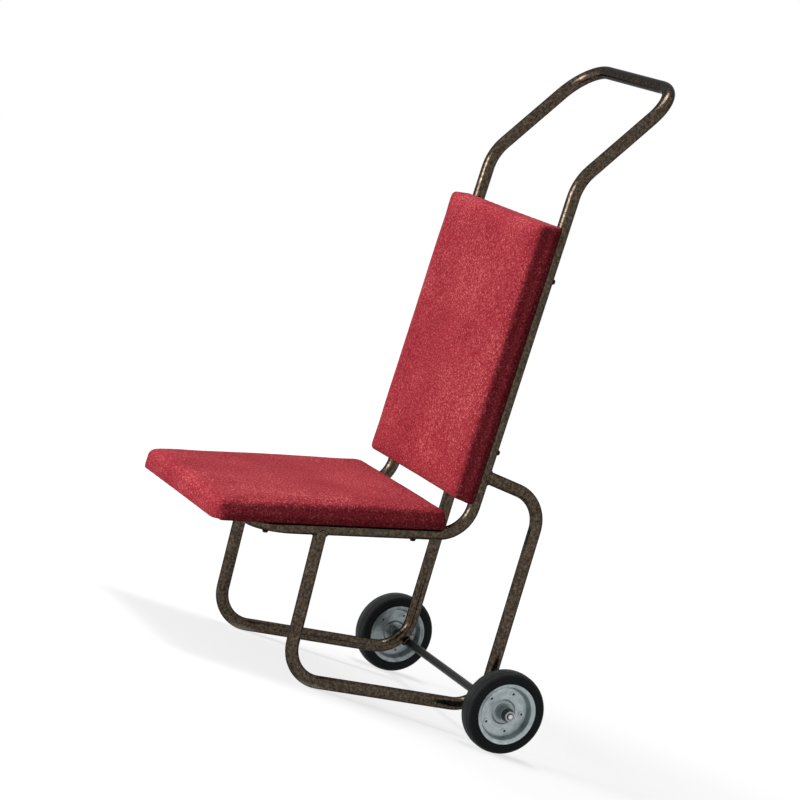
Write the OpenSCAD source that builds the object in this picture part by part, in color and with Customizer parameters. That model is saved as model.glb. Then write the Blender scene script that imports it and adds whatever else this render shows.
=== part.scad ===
// Two-wheeled trolley for carrying stacked chairs. All sizes are in millimetres and degrees.
// Bent tube hoops hold a padded seat and back, and two leg loops hold an axle with its wheels.
// The side view is set out with the runners level, as [y, z] points with the rear lower corner
// of a leg loop at zero. It is then tipped forward until wheels and front bends share the floor.

/* [Frame tube] */
// Outside diameter of every frame tube
tube_d = 25; // [22:0.5:28]
// Wall of every frame tube
tube_wall = 1.5; // [1:0.1:2.5]
// Thinning of the tube wall at each face in the bends
bend_thinning = 0.08; // [0.06:0.01:0.12]
// Lap of each bend into the straights it joins
bend_lap = 0.5; // [0.3:0.1:0.8]
// Distance between the middles of the left and right tubes
frame_w = 390; // [360:1:430]
// Root gap left for the weld where one tube or rod meets another
weld_gap = 0.1; // [0.05:0.05:0.3]

/* [Seat and handle hoops] */
// Seat corner, measured forward from the rear lower corner of the leg loops
seat_corner_reach = 127; // [115:1:140]
// Seat corner, measured up from the runners
seat_corner_rise = 323; // [300:1:345]
// Seat rail from the seat corner to the front bar
seat_rail_len = 410; // [395:1:430]
// Fall of the seat rail towards the front
seat_fall = 7.25; // [5:0.25:9]
// Back upright from the seat corner to the handle bend
back_len = 690; // [680:1:760]
// Backward lean of the uprights
back_lean = 3.5; // [2:0.25:5]
// Joint between the two hoops, measured up the uprights
hoop_joint_len = 330; // [280:1:400]
// Handle arm from the handle bend to the handle bar
handle_len = 263; // [230:1:320]
// Backward lean of the handle arms
handle_lean = 38; // [28:0.5:48]
// Bend radius at the seat corners
seat_bend_r = 66; // [60:1:72]
// Bend radius of the two front corners
front_corner_r = 65; // [55:1:75]
// Bend radius where the uprights turn into the handle arms
handle_bend_r = 100; // [80:1:120]
// Bend radius of the two handle corners
handle_corner_r = 78; // [60:1:95]

/* [Leg loops] */
// Runner from the rear to the front lower corner
runner_len = 412; // [395:1:425]
// Rear leg from the runner to the arm
rear_leg_len = 413; // [395:1:430]
// Backward lean of the rear legs
rear_leg_lean = 2.2; // [1:0.1:4]
// Rise of the arm from the rear leg forward to the upright
arm_rise = 11.2; // [8:0.2:14]
// Forward lean of the front legs
front_leg_lean = 0.4; // [0:0.1:2]
// Bend radius of the leg loops
loop_bend_r = 68; // [60:1:72]

/* [Axle] */
// Diameter of the axle where the wheels turn
axle_d = 16; // [14:0.5:18]
// Diameter of the threaded axle ends
axle_end_d = 12; // [10:0.5:12]
// Where the axle lies on the rear lower bends, measured down from the level
axle_dip = 34.5; // [25:0.5:45]
// Axle left showing beyond each nut
axle_tip_len = 2; // [1:0.5:5]
// Distance from the middle of a frame tube out to the mid plane of its wheel
wheel_reach = 75.5; // [70:0.5:95]

/* [Wheels] */
// Wheel diameter
wheel_d = 160; // [155:1:170]
// Width of the tyre
tyre_w = 40; // [38:0.5:44]
// Radius of the tyre shoulders
tyre_shoulder_r = 9; // [6:0.5:11]
// Width of the flat middle of the tread
tread_flat_w = 14; // [8:0.5:20]
// Fall of the tread from its flat middle to the shoulders
tread_fall = 2.5; // [1:0.1:4]
// Diameter over the rolled lip of the discs
disc_lip_d = 118; // [116:1:124]
// Diameter at the inside of the lip
disc_bowl_d = 104; // [101:1:107]
// Outer diameter of the flat of the discs
disc_flat_d = 95; // [90:1:96]
// Inner diameter of the flat of the discs
disc_step_d = 48; // [46:1:52]
// Diameter of the raised seat round the hub
disc_seat_d = 41; // [39:0.5:43]
// Height of the raised seat above the flat
disc_seat_rise = 4.5; // [3.5:0.5:6]
// Height of the hub collar above the flat
disc_collar_rise = 9; // [8:0.5:11]
// Sheet thickness of the discs
disc_t = 2; // [1.5:0.1:2.2]
// Inside radius of the bends pressed into the discs
disc_bend_r = 1.6; // [1.5:0.1:2]

/* [Hubs] */
// Outside diameter of the hub tube
hub_d = 28; // [27:0.5:29]
// Length of the hub tube
hub_len = 44; // [40:1:52]
// Outside diameter of the bushes
bush_d = 22; // [21:0.5:23]
// Length of a bush inside the hub
bush_len = 18; // [12:1:19]
// Flange diameter of the bushes
bush_flange_d = 26; // [24.5:0.5:27]
// Flange thickness of the bushes
bush_flange_t = 1.5; // [1:0.1:2.5]
// Radial running clearance between bush and axle
bush_play = 0.05; // [0.02:0.01:0.1]
// Side play of a wheel between its washers
wheel_side_play = 0.3; // [0.3:0.1:1]

/* [Rivets] */
// Rivets in each wheel
rivet_count = 5; // [4:1:6]
// Diameter of the rivet circle
rivet_circle_d = 76; // [70:1:78]
// Turn of the first rivet from the level, towards the top
rivet_turn = 81; // [0:1:90]
// Shank diameter of the rivets
rivet_d = 7; // [6:0.5:8]
// Bore in each end of the rivets
rivet_bore_d = 4.6; // [3:0.2:5]
// Depth of the bore in each end of the rivets
rivet_bore_len = 2.4; // [1.6:0.1:2.8]
// Head diameter of the rivets
rivet_head_d = 11; // [9.5:0.5:12]
// Head thickness of the rivets
rivet_head_t = 1.2; // [0.8:0.1:1.5]

/* [Axle fittings] */
// Outside diameter of the spacer sleeves
sleeve_d = 22; // [20:0.5:24]
// Outside diameter of the washers
washer_d = 24; // [23:0.5:28]
// Thickness of the washers
washer_t = 2; // [1.5:0.1:3]
// Width across the flats of the nuts
nut_flats = 19; // [18:0.5:22]
// Thickness of the nuts
nut_t = 8; // [6:0.5:10]
// Radial clearance of washers and sleeves on the axle
fitting_play = 0.1; // [0.05:0.05:0.2]

/* [Pads] */
// Overhang of both pads beyond the outsides of the frame tubes
pad_overhang = 7; // [4:0.5:12]
// Start of the seat pad, measured along the rail from the seat corner
seat_pad_start = 45; // [45:1:58]
// Length of the seat pad
seat_pad_len = 464; // [455:1:485]
// Start of the back pad, measured up the uprights from the seat corner
back_pad_start = 58; // [56:1:70]
// Length of the back pad
back_pad_len = 544; // [500:1:552]
// Thickness of the seat pad at its edge
seat_pad_t = 34; // [30:0.5:40]
// Thickness of the back pad at its edge
back_pad_t = 38; // [30:0.5:42]
// Rise of the middle of a pad above its edge
pad_crown = 7; // [4:0.5:12]
// Corner radius of a pad seen from above
pad_corner_r = 8; // [7:0.5:14]
// Corner radius of the seat pad's front corners
seat_front_r = 36; // [20:0.5:38]
// Least corner radius of the boards and dust cloths
board_corner_r = 14; // [13:0.5:18]
// Radius of the upper edges of a pad
pad_edge_r = 12; // [7:0.5:12]
// Radius of the lower edges of a pad
pad_base_r = 3; // [2:0.5:4]
// How far the edges of a pad are drawn in between the corners
pad_draw = 2; // [1:0.5:4]
// Thickness of the cover cloth
cover_t = 1.2; // [0.8:0.1:1.6]
// Width of cloth turned under the board
hem_w = 30; // [27:1:31]
// Margin of bare board round the dust cloth, measured from the edge of the pad
dust_cloth_margin = 46; // [44:1:60]
// Thickness of the dust cloth
dust_cloth_t = 0.6; // [0.4:0.1:0.8]
// Thickness of the boards
board_t = 10; // [9:0.5:12]
// Clearance between the layers of a pad
pad_gap = 0.3; // [0.2:0.05:0.4]

/* [Pad screws] */
// Rear seat screws, measured along the rail from the seat corner
seat_screw_len = 104; // [95:1:200]
// Lower back screws, measured up the uprights from the seat corner
back_screw_low = 165; // [145:1:200]
// Upper back screws, measured up the uprights from the seat corner
back_screw_high = 500; // [440:1:520]
// Diameter of the screws
screw_d = 6; // [5:0.5:6]
// Head diameter of the screws
screw_head_d = 12; // [10.5:0.5:13]
// Head height of the screws
screw_head_h = 3.6; // [3:0.2:5]
// Radial clearance of the screws in their holes
screw_play = 0.2; // [0.1:0.05:0.3]
// Barrel diameter of the tee nuts
tee_barrel_d = 8; // [7.5:0.1:8.5]
// Barrel length of the tee nuts
tee_barrel_len = 7; // [5:0.5:7]
// Flange diameter of the tee nuts
tee_flange_d = 19; // [16:0.5:22]
// Flange thickness of the tee nuts
tee_flange_t = 1.5; // [1:0.1:2]

/* [Hidden] */
$fn = 48;

bronze = [0.27, 0.22, 0.19];
black = [0.1, 0.1, 0.1];
zinc = [0.55, 0.58, 0.58];
bright = [0.75, 0.75, 0.73];
red = [0.62, 0.22, 0.25];
cream = [0.9, 0.86, 0.7];
birch = [0.78, 0.64, 0.44];

tube_r = tube_d / 2;
half_w = frame_w / 2;
wheel_track = frame_w + 2 * wheel_reach;
pad_w = frame_w + tube_d + 2 * pad_overhang;
left = 1;
right = -1;
sides = [left, right];

// Plane geometry of the side view
function unit(v) = v / norm(v);
function wedge(a, b) = a[0] * b[1] - a[1] * b[0];
function meet(p, d, q, e) = p + d * wedge(q - p, e) / wedge(d, e);
function leaning(angle) = [sin(angle), cos(angle)];
function bend_centre(a, b, c, r) =
    let (u = unit(a - b), v = unit(c - b))
    b + unit(u + v) * r / sin(acos(u * v) / 2);

seat_dir = [-cos(seat_fall), -sin(seat_fall)];
seat_corner = [-seat_corner_reach, seat_corner_rise];
front_bar = seat_corner + seat_rail_len * seat_dir;
hoop_joint = seat_corner + hoop_joint_len * leaning(back_lean);
handle_bend = seat_corner + back_len * leaning(back_lean);
handle_bar = handle_bend + handle_len * leaning(handle_lean);

heel = [0, 0];
toe = [-runner_len, 0];
rear_top = rear_leg_len * leaning(rear_leg_lean);
arm_end = meet(rear_top, [-cos(arm_rise), sin(arm_rise)], seat_corner, leaning(back_lean));
leg_end = meet(toe, leaning(-front_leg_lean), seat_corner, seat_dir);

rear_bend = bend_centre(rear_top, heel, toe, loop_bend_r);
front_bend = bend_centre(heel, toe, leg_end, loop_bend_r);
loop_out_r = loop_bend_r + tube_r - bend_thinning;
axle_at = rear_bend + (loop_out_r + axle_d / 2 + weld_gap) * [cos(axle_dip), -sin(axle_dip)];

// Pad rings: closed outlines of equal point count, stacked into solids
corner_steps = 3;
edge_steps = 5;
base_steps = 2;
round_steps = 3;
crown_shares = [0.86, 0.66, 0.44, 0.22];
least_corner_r = 2;

function outline_corner(k, w, l, r) =
    let (signs = [[1, 1], [-1, 1], [-1, -1], [1, -1]])
    [signs[k][0] * (w / 2 - r), signs[k][1] * (l / 2 - r)];
function outline_point(k, step, w, l, radii) =
    let (angle = 90 * (k + step / corner_steps))
    outline_corner(k, w, l, radii[k]) + radii[k] * [cos(angle), sin(angle)];
function outline_edge(k, step, w, l, radii, draw) =
    let (share = step / (edge_steps + 1),
         from = outline_point(k, corner_steps, w, l, radii),
         to = outline_point((k + 1) % 4, 0, w, l, radii),
         angle = 90 * (k + 1))
    from + (to - from) * share - 4 * share * (1 - share) * draw * [cos(angle), sin(angle)];
function outline(w, l, radii, draw) =
    [for (k = [0:3], step = [0:corner_steps + edge_steps])
        step <= corner_steps
            ? outline_point(k, step, w, l, radii)
            : outline_edge(k, step - corner_steps, w, l, radii, draw)];

// A pad is [length, thickness, radius of its lower or front corners]
seat_pad = [seat_pad_len, seat_pad_t, seat_front_r];
back_pad = [back_pad_len, back_pad_t, pad_corner_r];
function pad_radii(pad, inset) =
    [for (r = [pad_corner_r, pad_corner_r, pad[2], pad[2]]) max(r - inset, least_corner_r)];
function pad_ring(pad, inset, h) =
    [for (p = outline(pad_w - 2 * inset, pad[0] - 2 * inset, pad_radii(pad, inset), pad_draw))
        [p[0], p[1], h]];
function base_rings(pad) =
    [for (k = [0:base_steps])
        let (angle = 90 * k / base_steps)
        pad_ring(pad, pad_base_r * (1 - sin(angle)), pad_base_r * (1 - cos(angle)))];
function round_rings(pad, off) =
    let (r = pad_edge_r - off)
    [for (k = [0:round_steps])
        let (angle = 90 * k / round_steps)
        pad_ring(pad, off + r * (1 - cos(angle)), pad[1] - pad_edge_r + r * sin(angle))];
function crown_rings(pad, off) =
    [for (share = crown_shares)
        [for (p = pad_ring(pad, pad_edge_r, 0))
            [p[0] * share, p[1] * share, pad[1] - off + pad_crown * (1 - share * share)]]];
function crown_top(pad, off) = [0, 0, pad[1] - off + pad_crown];
function upper_rings(pad, off) = concat(round_rings(pad, off), crown_rings(pad, off));
function reversed(list) = [for (k = [len(list) - 1:-1:0]) list[k]];

function cover_rings(pad) =
    concat(reversed(upper_rings(pad, cover_t)),
           [pad_ring(pad, cover_t, cover_t), pad_ring(pad, hem_w, cover_t), pad_ring(pad, hem_w, 0)],
           base_rings(pad), upper_rings(pad, 0));
function foam_rings(pad) =
    concat([pad_ring(pad, cover_t + pad_gap, cover_t + board_t)],
           upper_rings(pad, cover_t + pad_gap));

// Standing position: tip of the side view and the shifts that put it on the floor
lever = axle_at - front_bend;
tip = asin((wheel_d / 2 - loop_out_r) / norm(lever)) - atan2(lever[1], lever[0]);
function stood(p) = [p[0] * cos(tip) - p[1] * sin(tip), p[0] * sin(tip) + p[1] * cos(tip)];
pad_seat_h = tube_r + pad_gap;
seat_pad_mid = seat_pad_start + seat_pad_len / 2;
back_pad_mid = back_pad_start + back_pad_len / 2;
function on_seat(p) =
    seat_corner + (seat_pad_mid - p[1]) * seat_dir
    + (p[2] + pad_seat_h) * [-sin(seat_fall), cos(seat_fall)];
front_y = min([for (ring = cover_rings(seat_pad), p = ring) stood(on_seat(p))[0]]);
rear_y = stood(axle_at)[0] + wheel_d / 2;
stand_y = -(front_y + rear_y) / 2;
stand_z = wheel_d / 2 - stood(axle_at)[1];

module standing() {
    translate([0, stand_y, stand_z]) rotate([tip, 0, 0]) children();
}

// Local frames: seat with y to the rear, back with y up, both with z out of the pad
module on_rails() {
    standing() translate([0, seat_corner[0], seat_corner[1]]) rotate([seat_fall, 0, 0]) children();
}

module on_uprights() {
    standing() translate([0, seat_corner[0], seat_corner[1]]) rotate([90 - back_lean, 0, 0]) children();
}

// Local frame of one wheel: z along the axle, outward, from the mid plane of the wheel
module at_wheel(side) {
    translate([side * wheel_track / 2, stand_y + stood(axle_at)[0], wheel_d / 2])
        rotate([0, side * 90, 0]) children();
}

// Bent tube: each bend is turned in the frame where the straight before it ends, its wall a
// little thinner than that of the straights, and starts and ends inside their wall
function at_side(x, p) = [x, p[0], p[1]];
function heading(points, k) = unit(points[k + 1] - points[k]);
function across(v, d) = unit(v - d * (v * d));
function bend_angle(points, k) = acos(heading(points, k - 1) * heading(points, k));
function setback(points, radii, k) =
    k == 0 || k == len(points) - 1 ? 0 : radii[k - 1] * tan(bend_angle(points, k) / 2);
function bend_twist(points, k) =
    let (d = heading(points, k),
         from = -across(heading(points, k - 1), d),
         to = across(heading(points, k + 1), d))
    atan2(cross(from, to) * d, from * to);

module posed(x_dir, y_dir, origin) {
    z_dir = cross(x_dir, y_dir);
    multmatrix([[x_dir[0], y_dir[0], z_dir[0], origin[0]],
                [x_dir[1], y_dir[1], z_dir[1], origin[1]],
                [x_dir[2], y_dir[2], z_dir[2], origin[2]],
                [0, 0, 0, 1]]) children();
}

module tube_face(thinning) {
    difference() {
        circle(d = tube_d - 2 * thinning);
        circle(d = tube_d - 2 * (tube_wall - thinning));
    }
}

// Draws the tube from leg k on, with z along the leg and the next bend towards x
module tube_from(points, radii, k) {
    straight = norm(points[k + 1] - points[k]) - setback(points, radii, k)
        - setback(points, radii, k + 1);
    linear_extrude(straight) tube_face(0);
    if (k < len(radii)) {
        r = radii[k];
        angle = bend_angle(points, k + 1);
        lap = 180 * bend_lap / (PI * r);
        twist = k + 1 < len(radii) ? bend_twist(points, k + 1) : 0;
        translate([r, 0, straight]) {
            posed([-1, 0, 0], [0, 0, 1], [0, 0, 0])
                rotate_extrude(angle = angle + 2 * lap, start = -lap)
                    translate([r, 0]) tube_face(bend_thinning);
            rotate([0, angle, 0]) translate([-r, 0, 0]) rotate([0, 0, twist])
                tube_from(points, radii, k + 1);
        }
    }
}

module bent_tube(points, radii) {
    z_dir = heading(points, 0);
    x_dir = across(heading(points, 1), z_dir);
    posed(x_dir, cross(z_dir, x_dir), points[0]) tube_from(points, radii, 0);
}

// Pad screw places in the seat and back frames
front_screw_x = half_w - front_corner_r * (1 - cos(45));
front_screw_len = seat_rail_len - front_corner_r * (1 - sin(45));
seat_screw_spots = [for (side = sides, rear = [true, false])
    rear ? [side * half_w, -seat_screw_len] : [side * front_screw_x, -front_screw_len]];
back_screw_spots = [for (side = sides, h = [back_screw_low, back_screw_high]) [side * half_w, h]];
hole_d = screw_d + 2 * screw_play;
board_top = pad_seat_h + cover_t + board_t;

module screw_holes(spots) {
    for (p = spots) translate([p[0], p[1], -tube_d]) cylinder(d = hole_d, h = 2 * tube_d);
}

module handle_hoop() {
    color(bronze) difference() {
        standing() bent_tube(
            [for (p = [hoop_joint, handle_bend, handle_bar]) at_side(half_w, p),
             for (p = [handle_bar, handle_bend, hoop_joint]) at_side(-half_w, p)],
            [handle_bend_r, handle_corner_r, handle_corner_r, handle_bend_r]);
        on_uprights() screw_holes(back_screw_spots);
    }
}

module seat_hoop() {
    color(bronze) difference() {
        standing() bent_tube(
            [for (p = [hoop_joint, seat_corner, front_bar]) at_side(half_w, p),
             for (p = [front_bar, seat_corner, hoop_joint]) at_side(-half_w, p)],
            [seat_bend_r, front_corner_r, front_corner_r, seat_bend_r]);
        on_uprights() screw_holes(back_screw_spots);
        on_rails() screw_holes(seat_screw_spots);
    }
}

// Tube ends are coped to the tube they are welded to
module cope(x, mid, dir) {
    reach = 2 * tube_d;
    posed([1, 0, 0], [0, dir[1], -dir[0]], at_side(x, mid - reach * dir))
        cylinder(r = tube_r + weld_gap, h = 2 * reach);
}

module leg_loop(side) {
    x = side * half_w;
    color(bronze) standing() difference() {
        bent_tube([for (p = [arm_end, rear_top, heel, toe, leg_end]) at_side(x, p)],
                  [loop_bend_r, loop_bend_r, loop_bend_r]);
        cope(x, arm_end, leaning(back_lean));
        cope(x, leg_end, seat_dir);
    }
}

module left_leg_loop() { leg_loop(left); }
module right_leg_loop() { leg_loop(right); }

// Axle and wheels, each placed from the mid plane of its wheel outward
hub_half = hub_len / 2 + bush_flange_t;
shoulder_h = hub_half + wheel_side_play;
nut_h = shoulder_h + washer_t;
axle_bar_len = wheel_track + 2 * shoulder_h;
axle_end_len = washer_t + nut_t + axle_tip_len;
sleeve_h = half_w + tube_r + pad_gap - wheel_track / 2;

module axle() {
    color(black) at_wheel(left) {
        translate([0, 0, -wheel_track - shoulder_h]) cylinder(d = axle_d, h = axle_bar_len);
        translate([0, 0, -wheel_track - shoulder_h - axle_end_len])
            cylinder(d = axle_end_d, h = axle_bar_len + 2 * axle_end_len);
    }
}

// Rounded corner of a sheet outline
function rounded(a, b, c, r, steps) =
    let (u = unit(a - b), v = unit(c - b), half = acos(u * v) / 2, open = 180 - 2 * half,
         centre = b + unit(u + v) * r / sin(half),
         s = b + u * r / tan(half) - centre,
         e = b + v * r / tan(half) - centre)
    [for (k = [0:steps])
        centre + (s * sin(open * (1 - k / steps)) + e * sin(open * k / steps)) / sin(open)];
function side_normal(a, b) = let (d = unit(b - a)) [-d[1], d[0]];
function shifted(path, k, off) =
    let (last = len(path) - 1,
         m = side_normal(path[max(k - 1, 0)], path[max(k, 1)]),
         n = side_normal(path[min(k, last - 1)], path[min(k + 1, last)]))
    path[k] + (m + n) * off / (1 + m * n);
function shifted_path(path, off) = [for (k = [0:len(path) - 1]) shifted(path, k, off)];

// Middle of the disc sheet, from the hub collar to the rolled lip, as [radius, height]
disc_steps = 3;
shoulder_steps = 6;
lip_h = tyre_w / 2 - disc_t / 2;
lip_rise = 1.5 * disc_t;
disc_corners = [[(hub_d + disc_t) / 2, disc_collar_rise], [(hub_d + disc_t) / 2, disc_seat_rise],
                [disc_seat_d / 2, disc_seat_rise], [disc_step_d / 2, disc_t / 2],
                [disc_flat_d / 2, disc_t / 2], [disc_bowl_d / 2, lip_h - lip_rise],
                [disc_lip_d / 2, lip_h]];
disc_last = len(disc_corners) - 1;
disc_path = concat([disc_corners[0]],
    [for (k = [1:disc_last - 1],
          p = rounded(disc_corners[k - 1], disc_corners[k], disc_corners[k + 1],
                      disc_bend_r, disc_steps)) p],
    [disc_corners[disc_last]]);
rivet_spots = [for (k = [0:rivet_count - 1])
    let (angle = 360 * k / rivet_count) rivet_circle_d / 2 * [cos(angle), sin(angle)]];

// The first rivet is turned up from the rear on both wheels
module rivet_ring(side) {
    rotate(side > 0 ? 180 - (90 - rivet_turn) : 90 - rivet_turn)
        for (p = rivet_spots) translate(p) children();
}

module disc(side, outward) {
    color(zinc) at_wheel(side) difference() {
        mirror([0, 0, outward ? 0 : 1])
            rotate_extrude() polygon(concat(shifted_path(disc_path, disc_t / 2),
                                            reversed(shifted_path(disc_path, -disc_t / 2))));
        rivet_ring(side) cylinder(d = rivet_d, h = 3 * disc_t, center = true);
    }
}

module left_outer_disc() { disc(left, true); }
module left_inner_disc() { disc(left, false); }
module right_outer_disc() { disc(right, true); }
module right_inner_disc() { disc(right, false); }

// The tyre fills the channel between the two discs
channel_share = 0.25;
disc_back = shifted_path(disc_path, -disc_t / 2);
bowl_start = disc_last - 2;
bowl_k = 1 + (disc_steps + 1) * bowl_start;
tyre_seat = concat([disc_back[bowl_k - 1] + (disc_back[bowl_k] - disc_back[bowl_k - 1]) * channel_share],
                   [for (k = [bowl_k:len(disc_back) - 1]) disc_back[k]]);
tyre_side = [[disc_lip_d / 2, tyre_w / 2], [wheel_d / 2 - tread_fall, tyre_w / 2],
             [wheel_d / 2, tread_flat_w / 2]];
tyre_half = concat(tyre_seat, [tyre_side[0]],
                   rounded(tyre_side[0], tyre_side[1], tyre_side[2], tyre_shoulder_r, shoulder_steps),
                   [tyre_side[2]]);

module tyre(side) {
    color(black) at_wheel(side) rotate_extrude()
        polygon(concat(tyre_half, [for (p = reversed(tyre_half)) [p[0], -p[1]]]));
}

module left_tyre() { tyre(left); }
module right_tyre() { tyre(right); }

module rivets(side) {
    color(bright) at_wheel(side) rivet_ring(side) difference() {
        union() {
            cylinder(d = rivet_d, h = 2 * disc_t, center = true);
            for (up = [0, 1]) mirror([0, 0, up])
                translate([0, 0, disc_t]) cylinder(d = rivet_head_d, h = rivet_head_t);
        }
        for (up = [0, 1]) mirror([0, 0, up])
            translate([0, 0, disc_t + rivet_head_t - rivet_bore_len])
                cylinder(d = rivet_bore_d, h = 2 * rivet_bore_len);
    }
}

module left_rivets() { rivets(left); }
module right_rivets() { rivets(right); }

module ring(outer_d, inner_d, h) {
    linear_extrude(h) difference() {
        circle(d = outer_d);
        circle(d = inner_d);
    }
}

module hub_tube(side) {
    color(zinc) at_wheel(side) translate([0, 0, -hub_len / 2]) ring(hub_d, bush_d, hub_len);
}

module left_hub_tube() { hub_tube(left); }
module right_hub_tube() { hub_tube(right); }

module bushes(side) {
    bore_d = axle_d + 2 * bush_play;
    color(black) at_wheel(side) for (up = [0, 1]) mirror([0, 0, up]) {
        translate([0, 0, hub_len / 2 - bush_len]) ring(bush_d, bore_d, bush_len);
        translate([0, 0, hub_len / 2]) ring(bush_flange_d, bore_d, bush_flange_t);
    }
}

module left_bushes() { bushes(left); }
module right_bushes() { bushes(right); }

module sleeve(side) {
    color(black) at_wheel(side) translate([0, 0, sleeve_h])
        ring(sleeve_d, axle_d + 2 * fitting_play, -shoulder_h - washer_t - sleeve_h);
}

module left_sleeve() { sleeve(left); }
module right_sleeve() { sleeve(right); }

module inner_washer(side) {
    color(zinc) at_wheel(side) translate([0, 0, -shoulder_h - washer_t])
        ring(washer_d, axle_d + 2 * fitting_play, washer_t);
}

module left_inner_washer() { inner_washer(left); }
module right_inner_washer() { inner_washer(right); }

module outer_washer(side) {
    color(black) at_wheel(side) translate([0, 0, shoulder_h])
        ring(washer_d, axle_end_d + 2 * fitting_play, washer_t);
}

module left_outer_washer() { outer_washer(left); }
module right_outer_washer() { outer_washer(right); }

module nut(side) {
    color(bright) at_wheel(side) translate([0, 0, nut_h]) linear_extrude(nut_t) difference() {
        circle(d = nut_flats / cos(30), $fn = 6);
        circle(d = axle_end_d);
    }
}

module left_nut() { nut(left); }
module right_nut() { nut(right); }

// Pads: solids lofted through rings, from a first middle point to a last one
module lofted(rings, first, last) {
    count = len(rings[0]);
    points = concat([first], [for (ring = rings, p = ring) p], [last]);
    top = len(points) - 1;
    base = top - count;
    faces = concat(
        [for (j = [0:count - 1]) [0, 1 + j, 1 + (j + 1) % count]],
        [for (k = [0:len(rings) - 2], j = [0:count - 1], upper = [true, false])
            let (a = 1 + k * count + j, b = 1 + k * count + (j + 1) % count)
            upper ? [a, a + count, b + count] : [a, b + count, b]],
        [for (j = [0:count - 1]) [top, base + (j + 1) % count, base + j]]);
    polyhedron(points = points, faces = faces);
}

module on_seat_pad() {
    on_rails() translate([0, -seat_pad_mid, pad_seat_h]) children();
}

module on_back_pad() {
    on_uprights() translate([0, back_pad_mid, pad_seat_h]) children();
}

module cover(pad) {
    lofted(cover_rings(pad), crown_top(pad, cover_t), crown_top(pad, 0));
}

module foam(pad) {
    lofted(foam_rings(pad), [0, 0, cover_t + board_t], crown_top(pad, cover_t + pad_gap));
}

module sheet_face(w, l, front_r) {
    translate([0, (front_r - board_corner_r) / 2])
        square([w, l - board_corner_r - front_r], center = true);
    for (y = sides) {
        r = y < 0 ? front_r : board_corner_r;
        translate([0, y * l / 4]) square([w - 2 * r, l / 2], center = true);
        for (x = sides) translate([x * (w / 2 - r), y * (l / 2 - r)]) circle(r = r);
    }
}

module board(pad) {
    inset = cover_t + pad_draw + pad_gap;
    translate([0, 0, cover_t]) linear_extrude(board_t)
        sheet_face(pad_w - 2 * inset, pad[0] - 2 * inset, max(pad[2] - inset, board_corner_r));
}

module dust_cloth(pad) {
    translate([0, 0, cover_t - dust_cloth_t]) linear_extrude(dust_cloth_t)
        sheet_face(pad_w - 2 * dust_cloth_margin, pad[0] - 2 * dust_cloth_margin, board_corner_r);
}

// Screws run from outside the tube into tee nuts let into the top of the boards
module screws(spots) {
    slot_w = screw_d / 4;
    slot_len = screw_head_d / 2;
    for (p = spots) translate([p[0], p[1], -tube_r]) difference() {
        union() {
            translate([0, 0, -screw_head_h]) cylinder(d1 = screw_head_d * 3 / 4, d2 = screw_head_d,
                                                      h = screw_head_h);
            cylinder(d = screw_d, h = tube_r + board_top - tee_flange_t);
        }
        translate([0, 0, -screw_head_h]) for (turn = [0, 90]) rotate(turn)
            cube([slot_len, slot_w, screw_head_h], center = true);
    }
}

module tee_nuts(spots) {
    for (p = spots) translate([p[0], p[1], board_top - tee_flange_t - pad_gap]) difference() {
        union() {
            cylinder(d = tee_flange_d, h = tee_flange_t);
            translate([0, 0, -tee_barrel_len]) cylinder(d = tee_barrel_d, h = tee_barrel_len);
        }
        cylinder(d = screw_d, h = 4 * tee_barrel_len, center = true);
    }
}

module tee_sinks(spots) {
    for (p = spots) translate([p[0], p[1], 0]) {
        cylinder(d = tee_barrel_d, h = 2 * board_top);
        translate([0, 0, board_top - tee_flange_t - pad_gap]) cylinder(d = tee_flange_d, h = board_t);
    }
}

module seat_board() {
    color(birch) difference() {
        on_seat_pad() board(seat_pad);
        on_rails() tee_sinks(seat_screw_spots);
    }
}

module seat_foam() {
    color(cream) on_seat_pad() foam(seat_pad);
}

module seat_cover() {
    color(red) difference() {
        on_seat_pad() cover(seat_pad);
        on_rails() screw_holes(seat_screw_spots);
    }
}

module seat_dust_cloth() {
    color(black) on_seat_pad() dust_cloth(seat_pad);
}

module seat_screws() {
    color(black) on_rails() screws(seat_screw_spots);
}

module seat_tee_nuts() {
    color(zinc) on_rails() tee_nuts(seat_screw_spots);
}

module back_board() {
    color(birch) difference() {
        on_back_pad() board(back_pad);
        on_uprights() tee_sinks(back_screw_spots);
    }
}

module back_foam() {
    color(cream) on_back_pad() foam(back_pad);
}

module back_cover() {
    color(red) difference() {
        on_back_pad() cover(back_pad);
        on_uprights() screw_holes(back_screw_spots);
    }
}

module back_dust_cloth() {
    color(black) on_back_pad() dust_cloth(back_pad);
}

module back_screws() {
    color(black) on_uprights() screws(back_screw_spots);
}

module back_tee_nuts() {
    color(zinc) on_uprights() tee_nuts(back_screw_spots);
}

handle_hoop();
seat_hoop();
left_leg_loop();
right_leg_loop();
axle();
left_tyre();
left_outer_disc();
left_inner_disc();
left_rivets();
left_hub_tube();
left_bushes();
left_sleeve();
left_inner_washer();
left_outer_washer();
left_nut();
right_tyre();
right_outer_disc();
right_inner_disc();
right_rivets();
right_hub_tube();
right_bushes();
right_sleeve();
right_inner_washer();
right_outer_washer();
right_nut();
seat_board();
seat_foam();
seat_cover();
seat_dust_cloth();
seat_screws();
seat_tee_nuts();
back_board();
back_foam();
back_cover();
back_dust_cloth();
back_screws();
back_tee_nuts();
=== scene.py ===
import math
import bmesh
import bpy
from mathutils import Matrix, Vector, noise


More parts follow.
